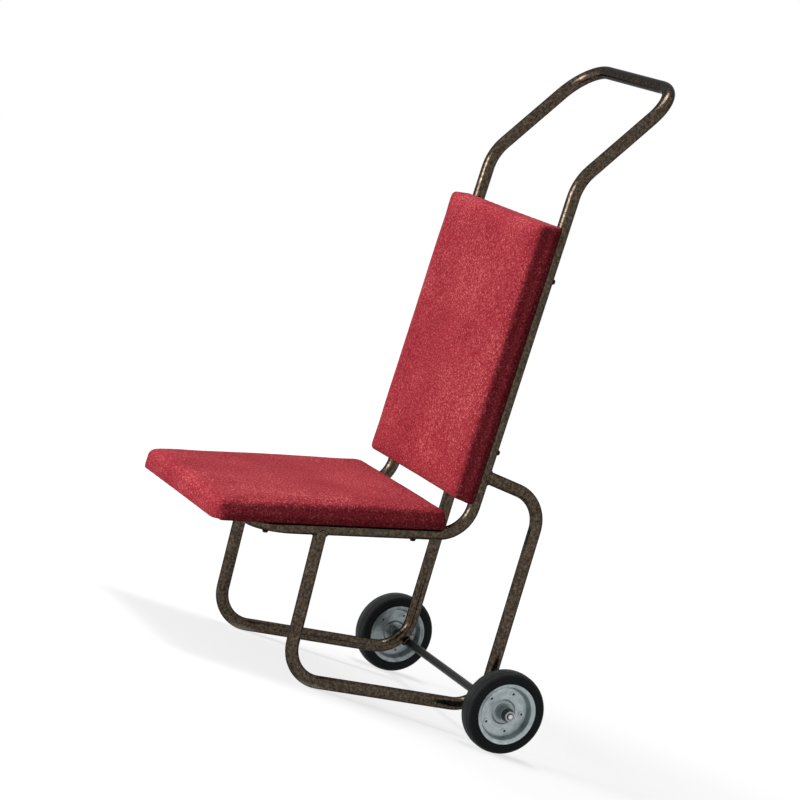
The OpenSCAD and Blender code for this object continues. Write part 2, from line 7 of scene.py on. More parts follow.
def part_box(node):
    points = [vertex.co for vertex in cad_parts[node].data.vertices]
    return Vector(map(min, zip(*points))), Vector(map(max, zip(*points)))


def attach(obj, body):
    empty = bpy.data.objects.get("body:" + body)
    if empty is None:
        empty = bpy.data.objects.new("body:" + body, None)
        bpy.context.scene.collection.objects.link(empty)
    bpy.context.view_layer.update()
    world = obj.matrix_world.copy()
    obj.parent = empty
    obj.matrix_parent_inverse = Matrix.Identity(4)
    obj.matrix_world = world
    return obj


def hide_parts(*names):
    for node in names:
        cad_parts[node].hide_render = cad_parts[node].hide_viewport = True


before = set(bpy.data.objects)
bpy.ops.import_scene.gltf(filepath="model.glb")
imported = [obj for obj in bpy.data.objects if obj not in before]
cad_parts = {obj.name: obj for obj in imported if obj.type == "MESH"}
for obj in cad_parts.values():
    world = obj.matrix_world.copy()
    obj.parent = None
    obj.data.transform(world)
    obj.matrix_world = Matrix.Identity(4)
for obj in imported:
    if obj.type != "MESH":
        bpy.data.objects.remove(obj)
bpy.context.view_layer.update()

# Camera
# The viewpoint of the picture: a long lens in front and to the left of the trolley, level with
# the back. It is rolled, because the picture shows the trolley tipped back on its wheels.
scene = bpy.context.scene
scene.view_settings.view_transform = "Standard"
long_lens = bpy.data.cameras.new("picture_camera")
long_lens.lens = 141.303
long_lens.sensor_width = 36
long_lens.clip_end = 100
camera = bpy.data.objects.new("picture_camera", long_lens)
scene.collection.objects.link(camera)
axle_low, axle_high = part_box("axle")
axle_y = (axle_low.y + axle_high.y) / 2
camera_place = Vector((5.3866, axle_y - 2.8831, 0.9049))
camera_right = Vector((0.37978, 0.84718, 0.37157))
camera_up = Vector((-0.21077, -0.31185, 0.92646))
camera_back = Vector((0.90075, -0.43016, 0.06012))
camera_turn = Matrix((camera_right, camera_up, camera_back)).transposed()
camera.matrix_world = Matrix.Translation(camera_place) @ camera_turn.to_4x4()
scene.camera = camera

# Studio
# A plain pale floor in a white surround, lit by a large soft lamp in front of the trolley and
# a smaller one overhead. Little light comes from the left, so the sides there fall into shade.
FLOOR_NEAR = 0.7
FLOOR_FAR = 2.6
FLOOR_NEAR_GLOW = 0.72
FLOOR_FAR_GLOW = 1.0


def clear_selection():
    if bpy.context.object and bpy.context.object.mode == "EDIT":
        bpy.ops.object.mode_set(mode="OBJECT")
    bpy.ops.object.select_all(action="DESELECT")


def rgb(red, green, blue):
    """A colour as the eye reads it, 0 to 255, in the linear values that shaders use."""
    straight = [c / 255 for c in (red, green, blue)]
    return [c / 12.92 if c < 0.04045 else ((c + 0.055) / 1.055) ** 2.4 for c in straight] + [1]


def new_finish(name):
    """A new material, with its node tree and its main shader."""
    finish = bpy.data.materials.new(name)
    finish.use_nodes = True
    return finish, finish.node_tree, finish.node_tree.nodes["Principled BSDF"]


def add_node(tree, kind, feeds=None, **settings):
    """Adds a shader node and feeds its inputs with other nodes' outputs or plain values."""
    added = tree.nodes.new("ShaderNode" + kind)
    for name, value in settings.items():
        setattr(added, name, value)
    for name, value in (feeds or {}).items():
        if isinstance(value, bpy.types.NodeSocket):
            tree.links.new(value, added.inputs[name])
        else:
            added.inputs[name].default_value = value
    return added


def maths(tree, operation, *values):
    return add_node(tree, "Math", dict(enumerate(values)), operation=operation).outputs[0]


def spread(tree, value, low, high, to_low, to_high):
    """Maps a value from one span to another and holds it there."""
    return add_node(tree, "MapRange", {"Value": value, "From Min": low, "From Max": high,
                                       "To Min": to_low, "To Max": to_high}).outputs[0]


def seen_directly(tree):
    """1 where the camera sees a surface, also in metal or through glass, and 0 for lighting."""
    ray = add_node(tree, "LightPath").outputs
    shiny = maths(tree, "MAXIMUM", ray["Is Camera Ray"], ray["Is Glossy Ray"])
    return maths(tree, "MAXIMUM", shiny, ray["Is Transmission Ray"])


clear_selection()
bpy.ops.mesh.primitive_plane_add(size=60)
studio_floor = bpy.context.object
studio_floor.name = "studio_floor"
pale_floor, tree, floor_shader = new_finish("pale_floor")
tree.nodes.remove(floor_shader)
floor_spot = add_node(tree, "TexCoord").outputs["Object"]
floor_away = add_node(tree, "VectorMath", {0: floor_spot}, operation="LENGTH").outputs["Value"]
floor_lift = spread(tree, floor_away, FLOOR_NEAR, FLOOR_FAR, FLOOR_NEAR_GLOW, FLOOR_FAR_GLOW)
floor_glow = add_node(tree, "Emission", {"Color": rgb(255, 255, 255), "Strength": floor_lift})
floor_paint = add_node(tree, "BsdfDiffuse", {"Color": rgb(178, 178, 178)})
floor_white = add_node(tree, "AddShader", {0: floor_paint.outputs[0], 1: floor_glow.outputs[0]})
floor_dull = add_node(tree, "BsdfDiffuse", {"Color": rgb(128, 128, 128)})
floor_mix = add_node(tree, "MixShader", {0: seen_directly(tree), 1: floor_dull.outputs[0],
                                         2: floor_white.outputs[0]})
tree.links.new(floor_mix.outputs[0], tree.nodes["Material Output"].inputs["Surface"])
studio_floor.data.materials.append(pale_floor)

surround = bpy.data.worlds.new("white_surround")
surround.use_nodes = True
scene.world = surround
tree = surround.node_tree
white_view = tree.nodes["Background"]
white_view.inputs["Color"].default_value = rgb(255, 255, 255)
white_view.inputs["Strength"].default_value = 1.0
soft_fill = add_node(tree, "Background", {"Color": rgb(250, 252, 255), "Strength": 0.09})
surround_mix = add_node(tree, "MixShader", {0: seen_directly(tree), 1: soft_fill.outputs[0],
                                            2: white_view.outputs[0]})
tree.links.new(surround_mix.outputs[0], tree.nodes["World Output"].inputs["Surface"])


def soft_lamp(name, place, target, width, height, watts):
    clear_selection()
    bpy.ops.object.light_add(type="AREA", location=place)
    lamp = bpy.context.object
    lamp.name = name
    lamp.data.shape = "RECTANGLE"
    lamp.data.size = width
    lamp.data.size_y = height
    lamp.data.energy = watts
    lamp.rotation_euler = (Vector(target) - Vector(place)).to_track_quat("-Z", "Y").to_euler()


soft_lamp("front_lamp", place=(0.2, -3.6, 1.05), target=(0, 0, 0.8), width=1.9, height=1.5, watts=127)
soft_lamp("top_lamp", place=(-0.3, -0.4, 3.6), target=(0, 0, 0.4), width=1.2, height=1.2, watts=51)

# Tube frame
# Two hoops and two leg loops of round steel tube, bent cold and joined with welds. They are
# sprayed all over with a dark bronze hammer paint, and scraped bare where they rub the floor.
RUB_HEIGHT = 0.012
GRAIN_LOW = 0.3
GRAIN_HIGH = 0.7


def coat(material, *nodes):
    """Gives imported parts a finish, with their shape left as it is."""
    for name in nodes:
        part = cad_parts[name]
        if not part.material_slots:
            part.data.materials.append(material)
        for place in part.material_slots:
            place.material = material


def on_object(tree):
    return add_node(tree, "TexCoord").outputs["Object"]


def grain(tree, at, scale, detail, roughness=0.5):
    """Random grain between 0 and 1, with its scale in specks to the metre."""
    return add_node(tree, "TexNoise", {"Vector": at, "Scale": scale, "Detail": detail,
                                       "Roughness": roughness}).outputs["Fac"]


def mingle(tree, first, second, share):
    """Adds two values, the second by its share and the first by what is left."""
    return maths(tree, "ADD", maths(tree, "MULTIPLY", first, 1 - share),
                 maths(tree, "MULTIPLY", second, share))


def ramp(tree, factor, *stops):
    """Colours or greys along a factor, each stop with its place and its colour."""
    added = add_node(tree, "ValToRGB", {"Fac": factor})
    marks = added.color_ramp.elements
    while len(marks) < len(stops):
        marks.new(0.5)
    for mark, (place, colour) in zip(marks, stops):
        mark.position = place
        mark.color = colour if hasattr(colour, "__len__") else (colour, colour, colour, 1)
    return added.outputs["Color"]


def blend_colour(tree, share, first, second):
    return add_node(tree, "Mix", {0: share, 6: first, 7: second}, data_type="RGBA").outputs[2]


def finish_with(tree, shader, colour, mottle, smooth, rough):
    """Links a finish's colour, and a roughness that goes from smooth to rough with a grain."""
    tree.links.new(colour, shader.inputs["Base Color"])
    roughness = spread(tree, mottle, GRAIN_LOW, GRAIN_HIGH, smooth, rough)
    tree.links.new(roughness, shader.inputs["Roughness"])


def emboss(tree, shader, height, strength, depth):
    """Gives a finish its fine relief."""
    relief = add_node(tree, "Bump", {"Strength": strength, "Distance": depth, "Height": height})
    tree.links.new(relief.outputs["Normal"], shader.inputs["Normal"])


bronze_paint, tree, bronze = new_finish("bronze_hammer_paint")
at = on_object(tree)
bronze_grain = grain(tree, at, scale=420, detail=4, roughness=0.65)
bronze_mottle = mingle(tree, grain(tree, at, scale=170, detail=3, roughness=0.6), bronze_grain, 0.5)
bronze_body = ramp(tree, bronze_mottle, (0.4, rgb(39, 32, 24)), (0.5, rgb(67, 56, 45)),
                   (0.6, rgb(96, 84, 69)))
bronze_height = add_node(tree, "SeparateXYZ", {0: at}).outputs["Z"]
floor_rub = maths(tree, "MULTIPLY", spread(tree, bronze_height, 0, RUB_HEIGHT, 1, 0),
                  spread(tree, bronze_grain, 0.42, 0.56, 0.1, 1))
finish_with(tree, bronze, blend_colour(tree, floor_rub, bronze_body, rgb(150, 146, 140)),
            bronze_grain, smooth=0.16, rough=0.28)
bronze.inputs["Metallic"].default_value = 0.94
bronze.inputs["Specular Tint"].default_value = rgb(26, 21, 17)
bronze.inputs["Coat Weight"].default_value = 0.16
bronze.inputs["Coat Roughness"].default_value = 0.18
bronze_cells = add_node(tree, "TexVoronoi", {"Vector": at, "Scale": 230, "Randomness": 1},
                        feature="SMOOTH_F1").outputs["Distance"]
emboss(tree, bronze, bronze_cells, strength=0.16, depth=0.0006)
coat(bronze_paint, "handle_hoop", "seat_hoop", "left_leg_loop", "right_leg_loop")

# Welds
# A rippled bead of weld runs round each coped tube end, where the arms meet the uprights and
# the front legs meet the seat rails, and round the axle where it lies on the rear bends.
TUBE_RADIUS = 0.0125
AXLE_RADIUS = 0.008
FRAME_HALF = 0.195
BACK_SLOPE = math.radians(94.5392)
SEAT_SLOPE = math.radians(15.2892)
ARM_SLOPE = math.radians(-3.1609)
FRONT_LEG_SLOPE = math.radians(-81.5608)
AXLE_REST_SLOPE = math.radians(-26.4597)
ARM_END = Vector((0, axle_y - 0.185108, 0.479749))
FRONT_LEG_END = Vector((0, axle_y - 0.454939, 0.287038))
REAR_BEND_CENTRE = Vector((0, axle_y - 0.079247, 0.119443))
REAR_BEND_OUTSIDE = 0.08047
BEAD_RADIUS = 0.0021
BEAD_RIPPLES = 30
BEAD_RIPPLE_DEPTH = 0.13
COPE_EASE = 0.03
CROSSING_REACH_X = 0.0078
CROSSING_REACH_Y = 0.0064
CROSSING_THICK = 0.0009
CROSSING_RIPPLES = 18
CROSSING_RIPPLE_DEPTH = 0.1
SIDEWAYS = Vector((1, 0, 0))


def way_along(slope):
    """The way in which a tube or pad runs, seen from the side, at a slope from level."""
    return Vector((0, math.cos(slope), math.sin(slope)))


def pick(*pieces):
    """Selects pieces alone, and makes the first one active."""
    clear_selection()
    for piece in pieces:
        piece.select_set(True)
    bpy.context.view_layer.objects.active = pieces[0]


def laid_down(piece, place, x_way, z_way):
    """Turns a piece made at the origin to its place, and leaves that place in its mesh."""
    turn = Matrix((x_way, z_way.cross(x_way), z_way)).transposed().to_4x4()
    pick(piece)
    piece.matrix_world = Matrix.Translation(place) @ turn
    bpy.ops.object.transform_apply(location=True, rotation=True, scale=True)


def bead_ring():
    clear_selection()
    bpy.ops.mesh.primitive_torus_add(major_segments=120, minor_segments=12,
                                     major_radius=TUBE_RADIUS, minor_radius=BEAD_RADIUS)
    return bpy.context.object


def coped_weld(place, branch, main):
    """A bead round the end of a branch tube, following the tube that it is coped to."""
    bead = bead_ring()
    upward = branch.cross(SIDEWAYS)
    out = SIDEWAYS.cross(main)
    if out.dot(branch) < 0:
        out = -out
    for v in bead.data.vertices:
        angle = math.atan2(v.co.y, v.co.x)
        ring = Vector((math.cos(angle), math.sin(angle), 0)) * TUBE_RADIUS
        ripple = 1 + BEAD_RIPPLE_DEPTH * math.sin(BEAD_RIPPLES * angle)
        swell = math.sqrt(math.sin(angle) ** 2 + COPE_EASE)
        rise = TUBE_RADIUS * (swell - math.sin(angle) * upward.dot(out)) / branch.dot(out)
        v.co = ring + (v.co - ring) * ripple
        v.co.z += rise
    laid_down(bead, place, SIDEWAYS, branch)
    return bead


def crossing_weld(place, outward):
    """A bead that fills the gap round the spot where the axle lies across a bend."""
    bead = bead_ring()
    for v in bead.data.vertices:
        angle = math.atan2(v.co.y, v.co.x)
        spot = Vector((math.cos(angle), math.sin(angle), 0))
        over = (v.co - spot * TUBE_RADIUS) / BEAD_RADIUS
        x, y = CROSSING_REACH_X * spot.x, CROSSING_REACH_Y * spot.y
        roof = AXLE_RADIUS - math.sqrt(AXLE_RADIUS ** 2 - y ** 2)
        ground = math.sqrt(TUBE_RADIUS ** 2 - x ** 2) - TUBE_RADIUS - y ** 2 / (2 * REAR_BEND_OUTSIDE)
        thick = CROSSING_THICK + (roof - ground) / 2
        ripple = 1 + CROSSING_RIPPLE_DEPTH * math.sin(CROSSING_RIPPLES * angle)
        v.co = Vector((x, y, (roof + ground) / 2)) + over * thick * ripple
    laid_down(bead, place, SIDEWAYS, outward)
    return bead


axle_rest_way = way_along(AXLE_REST_SLOPE)
axle_rest = REAR_BEND_CENTRE + axle_rest_way * REAR_BEND_OUTSIDE
beads = []
for out_to_side in (SIDEWAYS * FRAME_HALF, -SIDEWAYS * FRAME_HALF):
    beads.append(coped_weld(ARM_END + out_to_side, way_along(ARM_SLOPE), way_along(BACK_SLOPE)))
    beads.append(coped_weld(FRONT_LEG_END + out_to_side, way_along(FRONT_LEG_SLOPE),
                            -way_along(SEAT_SLOPE)))
    beads.append(crossing_weld(axle_rest + out_to_side, axle_rest_way))
pick(*beads)
bpy.ops.object.join()
welds = bpy.context.object
welds.name = "weld_beads"
bpy.ops.object.shade_smooth()
welds.data.materials.append(bronze_paint)
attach(welds, "frame")

# Axle
# A solid steel bar, painted satin black, with a spacer sleeve inside each wheel and a washer on
# either side of it. The paint stops where the threads start, and the ends are bare steel, with
# painted shade on them: darker at the middle of each end face, and dark towards its rim and
# along the thread.
AXLE_HEIGHT = 0.08
THREAD_START = 0.2943
THREAD_RADIUS = 0.006
PAINT_EDGE = 0.0003


def from_axle(tree):
    """Object coordinates, the same about the axle, and the distance from the axle's line."""
    at = on_object(tree)
    moved = add_node(tree, "VectorMath", {0: at, 1: (0, axle_y, AXLE_HEIGHT)},
                     operation="SUBTRACT").outputs[0]
    flat = add_node(tree, "VectorMath", {0: moved, 1: (0, 1, 1)}, operation="MULTIPLY").outputs[0]
    away = add_node(tree, "VectorMath", {0: flat}, operation="LENGTH").outputs["Value"]
    return at, moved, away


black_paint, tree, black = new_finish("satin_black_paint")
at, moved, away = from_axle(tree)
black_grain = grain(tree, at, scale=340, detail=5, roughness=0.7)
black_mottle = mingle(tree, grain(tree, at, scale=30, detail=2), black_grain, 0.5)
black_body = ramp(tree, black_mottle, (0.36, rgb(8, 8, 9)), (0.54, rgb(15, 15, 16)),
                  (0.7, rgb(40, 39, 38)))
axle_out = maths(tree, "ABSOLUTE", add_node(tree, "SeparateXYZ", {0: at}).outputs["X"])
bare_end = spread(tree, axle_out, THREAD_START - PAINT_EDGE, THREAD_START, 0, 1)
# Bare steel with painted shade: dark at the middle, bright between, dark towards the thread.
bare_steel_and_painted_shade = ramp(tree, spread(tree, away, 0, THREAD_RADIUS, 0, 1), (0.0, rgb(128, 131, 131)),
                  (0.12, rgb(206, 208, 206)), (0.66, rgb(196, 198, 196)), (0.86, rgb(66, 70, 71)))
finish_with(tree, black, blend_colour(tree, bare_end, black_body, bare_steel_and_painted_shade),
            black_grain, smooth=0.3, rough=0.5)
tree.links.new(bare_end, black.inputs["Metallic"])
black.inputs["Specular IOR Level"].default_value = 0.16
emboss(tree, black, black_grain, strength=0.12, depth=0.0004)
coat(black_paint, "axle", "left_sleeve", "right_sleeve")

dark_washer, tree, washer = new_finish("darkened_washer_steel")
washer_grain = grain(tree, on_object(tree), scale=900, detail=4)
finish_with(tree, washer, ramp(tree, washer_grain, (0.35, rgb(52, 54, 55)), (0.65, rgb(98, 101, 102))),
            washer_grain, smooth=0.32, rough=0.5)
washer.inputs["Metallic"].default_value = 0.85
coat(dark_washer, "left_inner_washer", "right_inner_washer", "left_outer_washer",
     "right_outer_washer")

# Axle nuts
# A plated hexagon nut holds each wheel on, with its corners cut back on both faces. The end of
# the axle shows through it. Shade is painted on the nut: dark round the axle's end and darker
# towards the cut corners.
NUT_FLATS = 0.019
NUT_CORNER = NUT_FLATS / 2 / math.cos(math.pi / 6)
NUT_FACE = NUT_FLATS * 0.47
NUT_SLANT = 0.0012
NUT_EDGE = 0.00018
CUTTER_ROOM = 0.0003
CUTTER_MIDDLE = 0.0002
CUTTER_STEPS = 72


def turned(name, profile, steps):
    """A ring or disc turned about Z: a circle drawn out along a profile of radius and height."""
    clear_selection()
    radius, height = profile[0]
    bpy.ops.mesh.primitive_circle_add(vertices=steps, radius=radius, location=(0, 0, height))
    piece = bpy.context.object
    piece.name = name
    bpy.ops.object.transform_apply(location=True, rotation=True, scale=True)
    bpy.ops.object.mode_set(mode="EDIT")
    bpy.ops.mesh.select_all(action="SELECT")
    for new_radius, new_height in profile[1:]:
        bpy.ops.mesh.extrude_edges_move(
            TRANSFORM_OT_translate={"value": (0, 0, new_height - height)})
        share = new_radius / radius
        bpy.ops.transform.resize(value=(share, share, 1), center_override=(0, 0, 0))
        radius, height = new_radius, new_height
    bpy.ops.mesh.select_all(action="SELECT")
    bpy.ops.mesh.remove_doubles(threshold=0.000002)
    bpy.ops.mesh.normals_make_consistent(inside=False)
    bpy.ops.object.mode_set(mode="OBJECT")
    return piece


def corner_cutter(half):
    """A round with slanted edges, which takes the corners off a nut's two faces."""
    outside = NUT_CORNER + CUTTER_ROOM
    side = [(CUTTER_MIDDLE, -half), (NUT_FACE, -half), (outside, NUT_SLANT - half)]
    cutter = turned("nut_corner_cut", side + [(r, -h) for r, h in reversed(side)], CUTTER_STEPS)
    bpy.ops.object.mode_set(mode="EDIT")
    bpy.ops.mesh.select_all(action="SELECT")
    bpy.ops.mesh.fill_holes(sides=0)
    bpy.ops.mesh.normals_make_consistent(inside=False)
    bpy.ops.object.mode_set(mode="OBJECT")
    return cutter


plated_steel, tree, plating = new_finish("bright_plated_steel")
plating_grain = grain(tree, on_object(tree), scale=700, detail=4)
plating_tone = ramp(tree, plating_grain, (0.32, rgb(176, 178, 176)), (0.66, rgb(214, 215, 211)))
finish_with(tree, plating, plating_tone, plating_grain, smooth=0.18, rough=0.36)
plating.inputs["Metallic"].default_value = 1.0

nut_steel, tree, nut_plating = new_finish("plated_nut_steel")
at, moved, away = from_axle(tree)
# Plated steel with painted shade: dark next to the axle's end and darker towards the corners.
nut_tone_and_painted_shade = ramp(tree, spread(tree, away, THREAD_RADIUS, NUT_CORNER, 0, 1), (0.0, rgb(40, 44, 45)),
                (0.16, rgb(84, 89, 90)), (0.3, rgb(160, 164, 163)), (0.62, rgb(150, 154, 153)),
                (0.8, rgb(92, 97, 98)))
finish_with(tree, nut_plating, nut_tone_and_painted_shade, grain(tree, at, scale=700, detail=4), smooth=0.18, rough=0.36)
nut_plating.inputs["Metallic"].default_value = 1.0

for side, facing in (("left", 1), ("right", -1)):
    low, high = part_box(side + "_nut")
    nut_height = high.x - low.x
    clear_selection()
    bpy.ops.mesh.primitive_cylinder_add(vertices=6, radius=NUT_CORNER, depth=nut_height)
    nut = bpy.context.object
    nut.name = side + "_axle_nut"
    cutter = corner_cutter(nut_height / 2)
    pick(nut)
    cut = nut.modifiers.new("corners_cut", "BOOLEAN")
    cut.operation = "INTERSECT"
    cut.object = cutter
    bpy.ops.object.modifier_apply(modifier="corners_cut")
    bpy.data.objects.remove(cutter)
    edge = nut.modifiers.new("edges_eased", "BEVEL")
    edge.width = NUT_EDGE
    edge.segments = 2
    edge.limit_method = "ANGLE"
    bpy.ops.object.modifier_apply(modifier="edges_eased")
    bpy.ops.object.shade_smooth_by_angle(angle=math.radians(28))
    laid_down(nut, (low + high) / 2, Vector((0, 0, -1)), Vector((facing, 0, 0)))
    nut.data.materials.clear()
    nut.data.materials.append(nut_steel)
    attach(nut, "frame")
    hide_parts(side + "_nut")

# Tyres
# A solid tyre of black rubber is gripped between the two discs of each wheel. It is moulded in
# one piece, with a raised ring on each wall, two shallow grooves and a fine mould line.
TYRE_HALF = 0.020
TYRE_RADIUS = 0.080
TYRE_STEPS = 144
SHOULDER_RADIUS = 0.009
SHOULDER_STEPS = 10
WORN_FROM = 0.0735
WORN_TO = 0.0785


def eased_corner(before, corner, after, radius, steps):
    """Points of an arc that rounds the corner between two straight runs of a profile."""
    before, corner, after = (Vector(p) for p in (before, corner, after))
    u, v = (before - corner).normalized(), (after - corner).normalized()
    half = u.angle(v) / 2
    centre = corner + (u + v).normalized() * radius / math.sin(half)
    first = corner + u * radius / math.tan(half) - centre
    last = corner + v * radius / math.tan(half) - centre
    sweep = math.pi - 2 * half
    return [tuple(centre + (first * math.sin(sweep * (1 - k / steps))
                            + last * math.sin(sweep * k / steps)) / math.sin(sweep))
            for k in range(steps + 1)]


gripped_foot = [(0.0500, 0.0042), (0.0531, 0.0142), (0.0573, 0.0170), (0.0591, 0.0180)]
wall_start = [(0.0592, 0.0192), (0.0596, 0.0197), (0.0605, 0.0199)]
wall_ring = [(0.0648, TYRE_HALF), (0.0651, 0.0204), (0.0656, 0.0206), (0.0663, 0.0206),
             (0.0668, 0.0204), (0.0671, TYRE_HALF)]
shoulder = eased_corner((0.0590, TYRE_HALF), (0.0775, TYRE_HALF), (TYRE_RADIUS, 0.007),
                        SHOULDER_RADIUS, SHOULDER_STEPS)
groove = [(0.0786, 0.0112), (0.0778, 0.0108), (0.0777, 0.0100), (0.0788, 0.0096)]
tread = [(0.0795, 0.0086), (0.0798, 0.0072), (0.07985, 0.0060), (0.07985, 0.0006)]
mould_line = [(TYRE_RADIUS, 0.0003)]
half_tyre = gripped_foot + wall_start + wall_ring + shoulder + groove + tread + mould_line
tyre_profile = half_tyre + [(r, -h) for r, h in reversed(half_tyre)] + half_tyre[:1]

tyre_rubber, tree, rubber = new_finish("black_tyre_rubber")
at, moved, away = from_axle(tree)
rubber_grain = grain(tree, at, scale=520, detail=5, roughness=0.7)
rubber_dust = grain(tree, at, scale=45, detail=4)
rubber_wear = maths(tree, "MULTIPLY", spread(tree, away, WORN_FROM, WORN_TO, 0.05, 0.9),
                    spread(tree, rubber_dust, 0.35, 0.65, 0.45, 1))
rubber_black = ramp(tree, rubber_grain, (0.36, rgb(14, 17, 18)), (0.66, rgb(30, 34, 35)))
finish_with(tree, rubber, blend_colour(tree, rubber_wear, rubber_black, rgb(50, 52, 52)),
            rubber_grain, smooth=0.5, rough=0.72)
rubber.inputs["Specular IOR Level"].default_value = 0.12
emboss(tree, rubber, rubber_grain, strength=0.2, depth=0.0003)

for side, facing in (("left", 1), ("right", -1)):
    low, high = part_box(side + "_tyre")
    tyre = turned(side + "_solid_tyre", tyre_profile, TYRE_STEPS)
    pick(tyre)
    bpy.ops.object.shade_smooth_by_angle(angle=math.radians(40))
    laid_down(tyre, (low + high) / 2, Vector((0, 0, -facing)), Vector((facing, 0, 0)))
    tyre.data.materials.append(tyre_rubber)
    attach(tyre, side + "_wheel")
    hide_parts(side + "_tyre")

# Wheel discs
# Each wheel has two pressed sheet discs back to back, zinc plated, with a rolled lip over the
# tyre and five hollow-ended rivets. Shade is painted into the zinc: in the groove by the lip,
# round the hub, over the inner side and in the rivet bores.
WHEEL_MIDDLE = 0.2705
WHEEL_SEAM = 0.001
DISC_RADIUS = 0.0605
RIVET_CIRCLE = 0.076
RIVET_TURN = math.radians(81)
RIVET_STEP = math.radians(72)
RIVET_BORE_SHADE = 0.0022
RIVET_BORE_SHADE_EDGE = 0.0026
zinc_plate, tree, zinc = new_finish("dull_zinc_plate")
at, moved, away = from_axle(tree)
zinc_rings = add_node(tree, "TexNoise", {"W": maths(tree, "MULTIPLY", away, 900), "Scale": 1.0,
                                         "Detail": 3}, noise_dimensions="1D").outputs["Fac"]
zinc_bloom = grain(tree, at, scale=85, detail=5, roughness=0.6)
zinc_mottle = mingle(tree, zinc_bloom, zinc_rings, 0.4)
zinc_body = ramp(tree, zinc_mottle, (0.34, rgb(146, 158, 160)), (0.52, rgb(182, 193, 195)),
                 (0.68, rgb(216, 223, 224)))
# Painted shade: darker in the groove by the lip and round the hub, mottled by the bloom.
bowl_painted_shade = ramp(tree, spread(tree, away, 0, DISC_RADIUS, 0, 1), (0.0, 0.3), (0.26, 0.6),
                  (0.4, 0.25), (0.5, 0.05), (0.76, 0.02), (0.81, 0.6), (0.87, 0.1), (0.95, 0.0))
bowl_painted_shade_mottled = maths(tree, "MULTIPLY", bowl_painted_shade, spread(tree, zinc_bloom, GRAIN_LOW, GRAIN_HIGH, 0.35, 1))
ways = add_node(tree, "SeparateXYZ", {0: moved}).outputs
# Painted shade over the whole inner side of each wheel, mottled.
inner_side = spread(tree, maths(tree, "ABSOLUTE", ways["X"]), WHEEL_MIDDLE - WHEEL_SEAM,
                    WHEEL_MIDDLE + WHEEL_SEAM, 1, 0)
inner_side_painted_shade = maths(tree, "MULTIPLY", inner_side, spread(tree, zinc_bloom, 0.36, 0.64, 0.15, 0.75))
turn = maths(tree, "SUBTRACT", maths(tree, "ARCTAN2", ways["Z"], ways["Y"]), RIVET_TURN)
nearest = maths(tree, "WRAP", turn, RIVET_STEP / 2, -RIVET_STEP / 2)
beside = maths(tree, "MULTIPLY", nearest, away)
beyond = maths(tree, "SUBTRACT", away, RIVET_CIRCLE / 2)
off_rivet = maths(tree, "SQRT", maths(tree, "ADD", maths(tree, "MULTIPLY", beside, beside),
                                      maths(tree, "MULTIPLY", beyond, beyond)))
# Painted shade in the rivet bores: a dark spot at the middle of each rivet.
rivet_bore_painted_shade = spread(tree, off_rivet, RIVET_BORE_SHADE, RIVET_BORE_SHADE_EDGE, 1, 0)
zinc_painted_shade = maths(tree, "MAXIMUM", maths(tree, "MAXIMUM", bowl_painted_shade_mottled, inner_side_painted_shade), rivet_bore_painted_shade)
# The dark grey mixed in here is the colour of the painted shade.
finish_with(tree, zinc, blend_colour(tree, zinc_painted_shade, zinc_body, rgb(62, 69, 71)),
            zinc_mottle, smooth=0.26, rough=0.46)
zinc.inputs["Metallic"].default_value = 0.7
emboss(tree, zinc, zinc_rings, strength=0.12, depth=0.0003)

bush_nylon, tree, nylon = new_finish("black_bush_nylon")
nylon_grain = grain(tree, on_object(tree), scale=800, detail=3)
finish_with(tree, nylon, ramp(tree, nylon_grain, (0.35, rgb(22, 22, 22)), (0.65, rgb(40, 40, 40))),
            nylon_grain, smooth=0.45, rough=0.65)

for side in ("left", "right"):
    coat(zinc_plate, side + "_outer_disc", side + "_inner_disc", side + "_hub_tube",
         side + "_rivets")
    coat(bush_nylon, side + "_bushes")

# Pad boards
# The seat and back are built on boards of birch plywood, with tee nuts let into them. Between
# the turned-in cloth and the dust cloth a strip of bare board shows.
birch_ply, tree, birch = new_finish("birch_plywood")
long_grain = add_node(tree, "Mapping", {"Vector": on_object(tree), "Scale": (12, 160, 160)}).outputs[0]
birch_grain = add_node(tree, "TexNoise", {"Vector": long_grain, "Scale": 2.2, "Detail": 6,
                                          "Roughness": 0.62, "Distortion": 0.6}).outputs["Fac"]
birch_body = ramp(tree, birch_grain, (0.3, rgb(150, 116, 78)), (0.5, rgb(192, 160, 118)),
                  (0.7, rgb(214, 186, 146)))
finish_with(tree, birch, birch_body, birch_grain, smooth=0.5, rough=0.7)
emboss(tree, birch, birch_grain, strength=0.2, depth=0.0004)
coat(birch_ply, "seat_board", "back_board")
coat(plated_steel, "seat_tee_nuts", "back_tee_nuts")
coat(black_paint, "seat_screws", "back_screws")

# Seat cushion
# A slab of foam on the board, covered with one piece of burgundy tweed cloth. The cloth is
# pulled round the board's edges, pleated at the corners and stapled underneath.
SEAT_CORNER = Vector((0, axle_y - 0.175866, 0.363328))
SEAT_MIDDLE = -0.277
SEAT_LENGTH = 0.464
SEAT_THICK = 0.036
SEAT_FRONT_ROUND = 0.025
SEAT_SEED = 2.3
PAD_WIDTH = 0.429
PAD_LIFT = 0.0128
PAD_CROWN = 0.0035
PAD_SLACK = 0.0005
PAD_MESH = 0.0045
CORNER_ROUND = 0.008
RIM_ROUND = 0.007
RIM_EASE = 14
RIM_EASE_LOW = 0.005
RIM_EASE_HIGH = 0.010
EDGE_PULL = 0.0009
MOST_SWELL = 0.0040
STUFFING_STEPS = 20
BOARD_TOP = 0.0115
TINY = 0.0001


